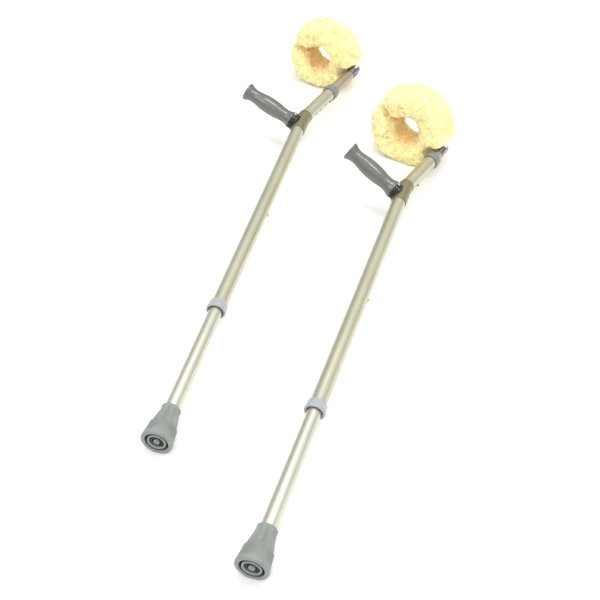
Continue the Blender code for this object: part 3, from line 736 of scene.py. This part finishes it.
def build_forearm(crutch):
    button, pivot = crutch.frames["button_s"], crutch.frames["pivot_s"]
    low, top = button - TUBE_BELOW, button + TUBE_ABOVE
    tube = crutch.add(
        "forearm_tube_drawn", inner_tube(low, top), "forearm", "forearm", "forearm", "forearm_tube",
        "aluminium",
    )
    carve(tube, pin_row(Matrix.Identity(4), [button], 6.0, 18.0))
    build_clip(crutch, "forearm", "forearm", button)

    outline = [
        (0.0, top - 22.0), (9.2, top - 22.0), (9.4, top - 20.0), (9.4, top + 0.3),
        (INNER_R, top + 0.3), (INNER_R, top + 3.0), (9.5, top + 3.6), (9.5, top + 4.6),
        (INNER_R, top + 5.2), (INNER_R, top + 8.6), (9.5, top + 9.2), (9.5, top + 10.2),
        (10.9, top + 10.8), (10.9, top + 14.2), (9.5, top + 14.8), (9.5, top + 15.8),
        (10.9, top + 16.4), (10.8, pivot - 3.0), (10.4, pivot + 6.0), (9.4, pivot + 9.0),
        (7.6, pivot + 10.5), (0.0, pivot + 10.5),
    ]
    fork = crutch.add(
        "fork_cheeks", turned(outline, 0.5, 72, closed=False), "forearm", "dark_steel", "forearm",
        "cuff_fork", "black_steel",
    )
    at_pivot, at_rivet = across(0, pivot), across(0, top - 10.0)
    rivet_hole = moved(rod(1.9, -16.0, 16.0, 24), at_rivet)
    slot = block((-20.0, 20.0), (-4.0, 4.0), (top + 5.0, pivot + 20.0))
    carve(fork, [slot, moved(rod(3.1, -16.0, 16.0, 32), at_pivot), rivet_hole], bevel=0.35)
    carve(tube, [rivet_hole])
    rivet = turned([(0.0, -11.5), (1.6, -11.2), (1.6, 11.2), (0.0, 11.5)], 0.3, 24, closed=False)
    rivet = moved(rivet, at_rivet)
    crutch.add("fork_rivet_pin", rivet, "forearm", "steel", "forearm", "fork_rivet", "steel")
    half = 11.2
    pin = turned([
        (0.0, -half - 2.3), (2.6, -half - 2.0), (4.2, -half - 0.9), (4.6, -half), (2.8, -half),
        (2.8, half), (4.6, half), (4.2, half + 0.9), (2.6, half + 2.0), (0.0, half + 2.3),
    ], 0.3, 48, closed=False)
    pin = moved(pin, at_pivot)
    crutch.add("pivot_pin_domed", pin, "forearm", "steel", "forearm", "pivot_pin", "steel")
    ring = turned([(3.1, -0.5), (7.0, -0.5), (7.0, 0.5), (3.1, 0.5)], 0.15, 48)
    for name, y in (("inner", -3.2), ("outer", 3.2)):
        crutch.add(
            f"pivot_ring_{name}", moved(ring, across(y, pivot)), "forearm", "nylon", "forearm",
            f"pivot_washer_{name}", "nylon",
        )


# ---------------- cuff

def plate(outline, half_width):
    """A flat plate from an (x, z) outline, thick along Y."""
    count = len(outline)
    verts = [(x, -half_width, z) for x, z in outline] + [(x, half_width, z) for x, z in outline]
    faces = [list(range(count)), list(range(2 * count - 1, count - 1, -1))]
    faces += [[i, (i + 1) % count, (i + 1) % count + count, i + count] for i in range(count)]
    return outward(verts, faces)


def arc(x, z, radius, start, end, count):
    """Points of an arc in the XZ plane; angles in degrees."""
    angles = np.linspace(math.radians(start), math.radians(end), count)
    return [(x + radius * math.cos(a), z + radius * math.sin(a)) for a in angles]


def build_cuff_metal(crutch):
    pin_x, pin_z = -CUFF_FORWARD, -CUFF_ABOVE_PIVOT
    back, front = -BAND_R - 3.3, -BAND_R - 0.3
    outline = [(front, -6.0), (back - 2.0, -6.4)] + arc(pin_x, pin_z, 6.2, 270, 90, 15)
    outline += [(back - 2.0, 6.2), (front, 6.0)]
    tab = crutch.add(
        "tab_web", plate(outline, 2.4), "cuff", "dark_steel", "cuff", "cuff_tab", "black_steel",
    )
    bore = moved(rod(3.1, -9.0, 9.0, 32), Matrix.Translation((pin_x, 0, 0)) @ across(0, pin_z))
    carve(tab, [bore], bevel=0.4)

    pad_outline = []
    for x, z, start in ((5.5, 13.5, 0), (-5.5, 13.5, 90), (-5.5, -13.5, 180), (5.5, -13.5, 270)):
        pad_outline += arc(x, z, 3.5, start, start + 90, 7)
    stand = Matrix.Translation(((front + back) / 2, 0, 0)) @ Matrix.Rotation(math.pi / 2, 4, "Z")
    pad = moved(plate(pad_outline, (front - back) / 2), stand)
    pad_piece = crutch.add("tab_pad", pad, "cuff", "dark_steel", "cuff", None, "black_steel")
    rivets = (("upper", 12.5), ("lower", -12.5))
    middle = (back - BAND_R + BAND_THICKNESS) / 2
    lies = [Matrix.Translation((middle, 0, z)) @ Matrix.Rotation(math.pi / 2, 4, "Y") for _, z in rivets]
    holes = [moved(rod(2.2, -9.0, 9.0, 24), lie) for lie in lies]
    carve(pad_piece, holes, bevel=0.4)
    band = crutch.add(
        "band_shell", band_shape(), "cuff", "black", "cuff", "cuff_band", "black_plastic",
    )
    carve(band, holes)
    half = (-BAND_R + BAND_THICKNESS - back) / 2 + 0.3
    rivet = turned([
        (0.0, -half - 1.5), (2.0, -half - 1.4), (3.4, -half), (1.9, -half), (1.9, half),
        (3.4, half), (2.0, half + 1.4), (0.0, half + 1.5),
    ], 0.25, 32, closed=False)
    for (name, _), lie in zip(rivets, lies):
        crutch.add(
            f"cuff_rivet_domed_{name}", moved(rivet, lie), "cuff", "steel", "cuff",
            f"cuff_rivet_{name}", "steel",
        )


def band_shape():
    """The plastic C: a thin band whose free ends are rounded in outline."""
    opening, count, edge = math.radians(35.0), 96, 0.6
    inner, outer = BAND_R - BAND_THICKNESS, BAND_R
    verts = []
    for i in range(count + 1):
        t = i / count
        angle = opening + (2 * math.pi - 2 * opening) * t
        near = min(t, 1 - t) * count / 8.0
        width = BAND_HALF_WIDTH * (math.sqrt(max(0.0, 1 - (1 - near) ** 2)) if near < 1 else 1.0)
        width = max(width, 6.0)
        for r, z in (
            (inner, edge - width), (inner + edge, -width), (outer - edge, -width), (outer, edge - width),
            (outer, width - edge), (outer - edge, width), (inner + edge, width), (inner, width - edge),
        ):
            verts.append((r * math.cos(angle), r * math.sin(angle), z))
    return closed_run(verts, 8)


# ---------------- sheepskin

def lattice(ix, iy, iz, seed):
    """A repeatable value from 0 to 1 for each integer cell."""
    mask = np.uint64(0xFFFFFFFF)
    h = (ix.astype(np.int64) * 73856093) ^ (iy.astype(np.int64) * 19349663)
    h = h ^ (iz.astype(np.int64) * 83492791) ^ np.int64(seed * 7919 + 17)
    h = h.astype(np.uint64) & mask
    h = ((h ^ (h >> np.uint64(15))) * np.uint64(2246822519)) & mask
    h = ((h ^ (h >> np.uint64(13))) * np.uint64(3266489917)) & mask
    h = h ^ (h >> np.uint64(16))
    return h.astype(np.float64) / float(0xFFFFFFFF)


def value_noise(points, cell, seed):
    """Smooth noise from 0 to 1 with features about one cell (mm) wide."""
    q = points / cell
    base = np.floor(q)
    t = q - base
    t = t * t * (3 - 2 * t)
    base = base.astype(np.int64)
    total = np.zeros(len(points))
    for dx in (0, 1):
        for dy in (0, 1):
            for dz in (0, 1):
                weight = (
                    (t[:, 0] if dx else 1 - t[:, 0]) * (t[:, 1] if dy else 1 - t[:, 1])
                    * (t[:, 2] if dz else 1 - t[:, 2])
                )
                total += weight * lattice(base[:, 0] + dx, base[:, 1] + dy, base[:, 2] + dz, seed)
    return total


def warp(points, cell, amount, seed):
    shift = np.stack([value_noise(points, cell, seed + k) - 0.5 for k in range(3)], 1)
    return points + 2 * amount * shift


def sausage(radius, rings=96, sides=40):
    """A padded C whose two rounded ends meet at the front, as points in the cuff's frame."""
    half_gap = math.radians(1.0)
    bore, cap = FLEECE_BORE_R - 2.5, 0.075
    centre_r, thick = (radius + bore) / 2, (radius - bore) / 2
    verts = []
    for i in range(rings + 1):
        t = i / rings
        angle = half_gap + (2 * math.pi - 2 * half_gap) * t
        edge = min(t, 1 - t) / cap
        size = math.sqrt(max(0.0, 1 - (1 - edge) ** 2)) if edge < 1 else 1.0
        size = max(size, 0.12)
        closing = min(1.0, size * 1.6)
        for k in range(sides):
            phi = 2 * math.pi * k / sides
            c, s = math.cos(phi), math.sin(phi)
            a = math.copysign(abs(c) ** 0.8, c) * thick * (0.35 + 0.65 * size) * closing
            b = math.copysign(abs(s) ** 0.8, s) * FLEECE_HALF_WIDTH * (0.3 + 0.7 * size) * closing
            r = centre_r + a
            verts.append((
                r * math.cos(angle) + FLEECE_OFFSET[0], r * math.sin(angle) + FLEECE_OFFSET[1],
                b + FLEECE_OFFSET[2],
            ))
    return closed_run(verts, sides)


def points_of(mesh):
    flat = np.empty(len(mesh.vertices) * 3)
    mesh.vertices.foreach_get("co", flat)
    return flat.reshape(-1, 3)


def put_points(mesh, points):
    mesh.vertices.foreach_set("co", np.asarray(points, float).ravel())
    mesh.update()


def swell(piece, cap_mm, pressure=4.0, frames=18):
    """Let the cover swell like stuffed cloth, with no point moving further than the cap."""
    before = points_of(piece.data)
    cloth = piece.modifiers.new("cloth", "CLOTH")
    for name, value in {
        "quality": 5, "mass": 0.4, "tension_stiffness": 12.0, "compression_stiffness": 12.0,
        "shear_stiffness": 4.0, "bending_stiffness": 1.5, "use_pressure": True,
        "uniform_pressure_force": pressure,
    }.items():
        setattr(cloth.settings, name, value)
    cloth.settings.effector_weights.gravity = 0.0
    cloth.collision_settings.use_collision = False
    scene = bpy.context.scene
    for step in range(1, frames + 1):
        scene.frame_set(step)
    graph = bpy.context.evaluated_depsgraph_get()
    evaluated = piece.evaluated_get(graph)
    after = points_of(evaluated.data)
    piece.modifiers.clear()
    scene.frame_set(1)
    step = (after - before) / MM
    length = np.maximum(np.linalg.norm(step, axis=1), 1e-9)
    step *= (np.minimum(length, cap_mm) / length)[:, None]
    put_points(piece.data, before + step * MM)


def ease(values, low, high):
    t = np.clip((values - low) / (high - low), 0.0, 1.0)
    return t * t * (3 - 2 * t)


def hold_shape(points, cuff):
    """Keep the sheepskin off the tube behind it and flat where it rests on the floor (mm)."""
    kept = points.copy()
    x, y, z = kept.T
    below_pivot = np.clip(-CUFF_ABOVE_PIVOT - z, 0.0, None)
    limit = -FLEECE_BACK + BACK_SLOPE * below_pivot
    # Beside the tube, and above its end, the wool may reach further back.
    limit -= 18.0 * np.maximum(ease(np.abs(y), 9.0, 18.0), ease(z, 6.0, 16.0))
    over = limit - x
    soft = 6.0
    kept[:, 0] = np.where(over > -soft, limit + soft * np.exp(np.clip(-(over + soft) / soft, -9, 0)), x)
    world = np.asarray(cuff)
    height = (kept * MM) @ world[2, :3] + world[2, 3]
    low = 0.0004
    rise = np.where(height < low, low - height, 0.0)
    kept += np.outer(rise / MM, world[2, :3])
    return kept


def outer_box(points, cuff, low, high):
    """Pull points that leave the allowed box back into it."""
    world = np.asarray(cuff)
    at = (points * MM) @ world[:3, :3].T + world[:3, 3]
    at = np.clip(at, low, high)
    return ((at - world[:3, 3]) @ world[:3, :3]) / MM


def parting(points, start, end, reach):
    """1 along a short line in the wool, falling to 0 beyond its reach."""
    start, end = np.array(start), np.array(end)
    run = end - start
    along = np.clip((points - start) @ run / (run @ run), 0.0, 1.0)
    away = np.linalg.norm(points - start - along[:, None] * run, axis=1)
    return np.exp(-(away / reach) ** 2)


def build_fleece(crutch, seed):
    """The sheepskin: a padded C swollen as cloth, then lumped, curled and parted."""
    side, cuff = crutch.side, crutch.frames["cuff"]
    low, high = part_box(f"{side}_cuff_fleece")
    inverse = cuff.inverted()
    corners = [inverse @ v.co for v in frame["nodes"][f"{side}_cuff_fleece"].data.vertices]
    local = np.array([tuple(c) for c in corners]) / MM - FLEECE_OFFSET
    radius = float(np.sort(np.hypot(local[:, 0], local[:, 1]))[-8:].mean())
    allowed = (np.array(low) - WOOL_SLACK, np.array(high) + WOOL_SLACK)

    shape = sausage(radius - FLEECE_TRIM[side])
    piece = add_piece(f"{side}_sheepskin", *shape, cuff, crutch.looks["wool"], None, sharp=180.0)
    remesh = piece.modifiers.new("remesh", "REMESH")
    remesh.mode = "VOXEL"
    remesh.voxel_size = 6.0 * MM
    apply_modifiers(piece)
    swell(piece, 6.0)
    subdivide = piece.modifiers.new("smooth", "SUBSURF")
    subdivide.levels = subdivide.render_levels = 2
    apply_modifiers(piece)

    mesh = piece.data
    points = points_of(mesh) / MM
    normals = np.array([tuple(v.normal) for v in mesh.vertices])
    centred = points - FLEECE_OFFSET
    swirl = warp(points, 16.0, 5.0, seed)
    curls = warp(swirl, 7.0, 2.6, seed + 11)
    clumps = value_noise(swirl, 15.0, seed + 3)
    locks = 1.0 - np.abs(2 * value_noise(curls, 6.5, seed + 5) - 1)
    wisps = 1.0 - np.abs(2 * value_noise(warp(curls, 3.5, 1.2, seed + 23), 3.2, seed + 7) - 1)
    lift = 4.5 * (clumps - 0.45) + 3.6 * (locks ** 1.6 - 0.35) + 1.7 * (wisps - 0.5)
    ring_r = np.hypot(centred[:, 0], centred[:, 1])
    inside = np.clip((FLEECE_BORE_R + 14.0 - ring_r) / 16.0, 0.0, 1.0)
    lift *= 1.0 - 0.45 * inside
    from_seam = np.arctan2(centred[:, 1] + 3.0 * (clumps - 0.5), centred[:, 0]) * ring_r
    crease = np.exp(-(from_seam / 5.0) ** 2)
    crease = np.maximum(crease, parting(points, *PARTINGS[side]))
    lift -= 4.0 * crease
    points = points + normals * lift[:, None]
    back, aside = -points[:, 0], np.abs(points[:, 1])
    beside_tube = ease(back, 38.0, 60.0) * ease(aside, 9.0, 17.0) * (1.0 - ease(aside, 26.0, 42.0))
    points[:, 0] -= 8.0 * beside_tube
    points = hold_shape(points, cuff)
    points = outer_box(points, cuff, *allowed)
    put_points(mesh, points * MM)

    # Colour value: lower between the lumps, and lower still in the bore and along the creases, as painted shade.
    pile_and_shade = 0.42 + 0.34 * locks ** 1.2 + 0.16 * wisps + 0.12 * clumps
    pile_and_shade -= 0.50 * inside + 0.75 * crease
    store(mesh, "pile_and_shade", np.clip(pile_and_shade, 0.0, 1.0))
    build_locks(crutch, piece, seed, allowed)
    mesh.transform(cuff)
    piece.matrix_world = Matrix.Identity(4)
    settle(piece, f"{side}_cuff", [f"{side}_cuff_fleece"])


def store(mesh, name, values):
    attribute = mesh.attributes.new(name, "FLOAT", "POINT")
    attribute.data.foreach_set("value", np.asarray(values, np.float32))


def build_locks(crutch, cover, seed, allowed):
    """Loose curled locks of wool standing off the cover."""
    cuff, mesh, count, steps = crutch.frames["cuff"], cover.data, LOCK_COUNT, LOCK_STEPS
    mesh.calc_loop_triangles()
    corners = np.array([tuple(t.vertices) for t in mesh.loop_triangles])
    points = points_of(mesh) / MM
    a, b, c = (points[corners[:, k]] for k in range(3))
    cross = np.cross(b - a, c - a)
    area = np.linalg.norm(cross, axis=1)
    rng = np.random.default_rng(seed)
    chosen = rng.choice(len(area), size=count, p=area / area.sum())
    u, v = rng.random(count), rng.random(count)
    flip = u + v > 1
    u[flip], v[flip] = 1 - u[flip], 1 - v[flip]
    roots = a[chosen] + (b - a)[chosen] * u[:, None] + (c - a)[chosen] * v[:, None]
    normal = cross[chosen] / area[chosen][:, None]
    values = np.empty(len(points), np.float32)
    mesh.attributes["pile_and_shade"].data.foreach_get("value", values)
    depth_and_shade = values[corners[chosen, 0]]

    flow = np.stack([value_noise(roots, 19.0, seed + 40 + k) - 0.5 for k in range(3)], 1)
    flow -= normal * (flow * normal).sum(1)[:, None]
    flow /= np.maximum(np.linalg.norm(flow, axis=1), 1e-6)[:, None]
    sideways = np.cross(normal, flow)
    length = 5.0 + 5.5 * rng.random(count) ** 1.5
    width = 0.55 + 0.45 * rng.random(count)
    curl = rng.uniform(-1.4, 1.4, count)
    lean = rng.uniform(0.9, 1.9, count)
    verts, faces, pile_and_shade = [], [], []
    for i in range(count):
        rings = []
        heading = normal[i] + flow[i] * lean[i] * 0.5 + sideways[i] * rng.uniform(-0.5, 0.5)
        heading /= np.linalg.norm(heading)
        place = roots[i] - normal[i] * 0.8
        for s in range(steps + 1):
            t = s / steps
            thick = width[i] * (1 - t) ** 0.7 if s < steps else 0.0
            frame_u = np.cross(heading, sideways[i] + 0.3 * flow[i])
            frame_u /= max(np.linalg.norm(frame_u), 1e-6)
            frame_v = np.cross(heading, frame_u)
            first = len(verts)
            # Colour value along a lock: darker at its root, as painted shade where it meets the cover, lighter
            # towards the tip.
            if s == steps:
                rings.append([first] * 3)
                verts.append(tuple(place))
                pile_and_shade.append(min(1.0, depth_and_shade[i] + 0.45))
            else:
                rings.append([first, first + 1, first + 2])
                for k in range(3):
                    turn = 2 * math.pi * k / 3
                    offset = frame_u * math.cos(turn) + frame_v * math.sin(turn)
                    verts.append(tuple(place + offset * thick))
                    pile_and_shade.append(min(1.0, depth_and_shade[i] + 0.1 + 0.35 * t))
            bend = curl[i] * (0.4 + t)
            heading = heading + sideways[i] * bend * 0.35 + flow[i] * 0.28 * lean[i] - normal[i] * 0.10
            heading /= np.linalg.norm(heading)
            place = place + heading * length[i] / steps
        faces += skin(rings)
    kept = hold_shape(np.array(verts), cuff)
    kept = outer_box(kept, cuff, *allowed)
    world = np.asarray(cuff)
    placed = kept @ world[:3, :3].T + world[:3, 3] / MM
    locks = add_piece(
        f"{crutch.side}_wool_locks", placed, faces, Matrix.Identity(4), crutch.looks["wool"],
        f"{crutch.side}_cuff", (), "sheepskin", sharp=180.0,
    )
    store(locks.data, "pile_and_shade", pile_and_shade)


# ---------------- stage

def build_stage():
    floor_mesh = bpy.data.meshes.new("floor")
    size = 30.0
    floor_mesh.from_pydata(
        [(-size, -size, 0), (size, -size, 0), (size, size, 0), (-size, size, 0)], [], [[0, 1, 2, 3]]
    )
    floor = new_object("floor", floor_mesh)
    floor_mesh.materials.append(new_material("pale_floor", (0.93, 0.93, 0.93), 0.9))


def build_world():
    """Soft studio surround: bright overhead and to one side, a greyer wall behind the cuffs."""
    world = bpy.data.worlds.new("studio")
    bpy.context.scene.world = world
    world.use_nodes = True
    tree = world.node_tree
    source = add_node(tree, "ShaderNodeTexCoord")
    toward = add_node(tree, "ShaderNodeVectorMath", {
        0: source.outputs["Generated"], 1: Vector((0.25, -0.2, 0.95)).normalized(),
    }, operation="DOT_PRODUCT")
    scale = add_node(tree, "ShaderNodeMapRange", {"Value": toward.outputs["Value"], "From Min": -1.0})
    levels = [(-0.4, 0.45), (0.0, 0.56), (0.22, 0.70), (0.36, 0.86), (0.54, 1.25), (1.0, 1.35)]
    shade = ramp(tree, scale.outputs["Result"], [
        (0.5 + 0.5 * facing, (level, level * 0.995, level * 0.97)) for facing, level in levels
    ])
    background = tree.nodes["Background"]
    tree.links.new(shade, background.inputs["Color"])
    background.inputs["Strength"].default_value = 1.0


def add_light(name, place, target, size, power):
    light = bpy.data.lights.new(name, "AREA")
    light.shape = "RECTANGLE"
    light.size, light.size_y = size
    light.energy = power
    lamp = new_object(name, light)
    lamp.location = place
    lamp.rotation_mode = "QUATERNION"
    lamp.rotation_quaternion = (Vector(target) - Vector(place)).to_track_quat("-Z", "Y")


def build_lights():
    """A soft key light, and a strip over each grip that gives its long highlight."""
    add_light("key_softbox", (-1.4, -1.4, 2.6), (0.0, 0.0, 0.0), (1.8, 1.8), 17.0)
    add_light("near_strip", (1.05, -0.05, 1.95), (0.09, 0.18, 0.08), (0.36, 0.7), 9.0)
    add_light("far_strip", (0.16, 0.39, 1.95), (-0.15, 0.34, 0.08), (0.36, 0.7), 9.0)


def build_camera():
    """The photograph's viewing angle: from beyond the feet, 42 degrees above the floor."""
    data = bpy.data.cameras.new("view")
    data.sensor_width, data.lens = CAMERA_SENSOR, CAMERA_LENS
    data.clip_start, data.clip_end = 0.05, 100.0
    camera = new_object("view", data)
    look = Vector(CAMERA_LOOK).normalized()
    right = look.cross(Vector(CAMERA_UP)).normalized()
    up = right.cross(look)
    matrix = Matrix((right, up, -look)).transposed().to_4x4()
    matrix.translation = Vector(CAMERA_PLACE)
    camera.matrix_world = matrix
    bpy.context.scene.camera = camera


def main():
    scene = bpy.context.scene
    scene.view_settings.view_transform = "Standard"
    looks = {
        "aluminium": tube_material("anodised_tube", (0.55, 0.535, 0.42), (0.47, 0.455, 0.35), 0.32),
        # The leg and forearm tubes are the main tube's anodising with painted light: the leg lighter, the forearm
        # darker and browner as painted shade.
        "leg": tube_material("anodised_tube_painted_lighter", (0.60, 0.60, 0.51), (0.51, 0.51, 0.42), 0.30),
        "forearm": tube_material("anodised_tube_painted_darker", (0.47, 0.40, 0.31), (0.39, 0.33, 0.25), 0.36),
        "olive": tube_material("olive_sleeve", (0.295, 0.27, 0.16), (0.235, 0.21, 0.12), 0.40),
        "rubber": moulded_material(
            "grey_rubber", (0.285, 0.315, 0.295), (0.20, 0.222, 0.21), 0.62, 0.9, 0.12),
        "collar": moulded_material(
            "collar_grey", (0.375, 0.39, 0.41), (0.32, 0.335, 0.35), 0.36, 0.6, 0.06),
        # The upper collar is the lower collar's plastic made darker as painted shade.
        "collar_painted_shade": moulded_material(
            "collar_grey_painted_shade", (0.205, 0.215, 0.21), (0.165, 0.175, 0.17), 0.36, 0.6, 0.06),
        "grip": moulded_material(
            "grip_grey", (0.105, 0.114, 0.102), (0.082, 0.09, 0.08), 0.24, 0.7, 0.03,
            Specular_IOR_Level=1.0),
        "black": moulded_material(
            "black_moulding", (0.012, 0.012, 0.012), (0.006, 0.006, 0.006), 0.2, 0.7, 0.04),
        "nylon": moulded_material("white_nylon", (0.78, 0.78, 0.74), (0.68, 0.68, 0.64), 0.5, 0.6, 0.05),
        "brass": metal_material("worn_brass", (0.66, 0.47, 0.21), (0.36, 0.25, 0.11), 0.24),
        "steel": metal_material("bright_steel", (0.86, 0.86, 0.86), (0.66, 0.66, 0.66), 0.18),
        "dark_steel": metal_material("fork_steel", (0.36, 0.35, 0.37), (0.13, 0.12, 0.13), 0.17),
        "wool": wool_material(
            "sheepskin_pile", (0.96, 0.50, 0.20), (0.94, 0.70, 0.32), (0.93, 0.83, 0.40)),
    }
    for index, side in enumerate(SIDES):
        crutch = Crutch(side, looks)
        build_leg(crutch)
        build_main(crutch)
        build_handle(crutch)
        build_forearm(crutch)
        build_cuff_metal(crutch)
        build_fleece(crutch, seed=31 + 100 * index)
    build_stage()
    build_world()
    build_lights()
    build_camera()


main()
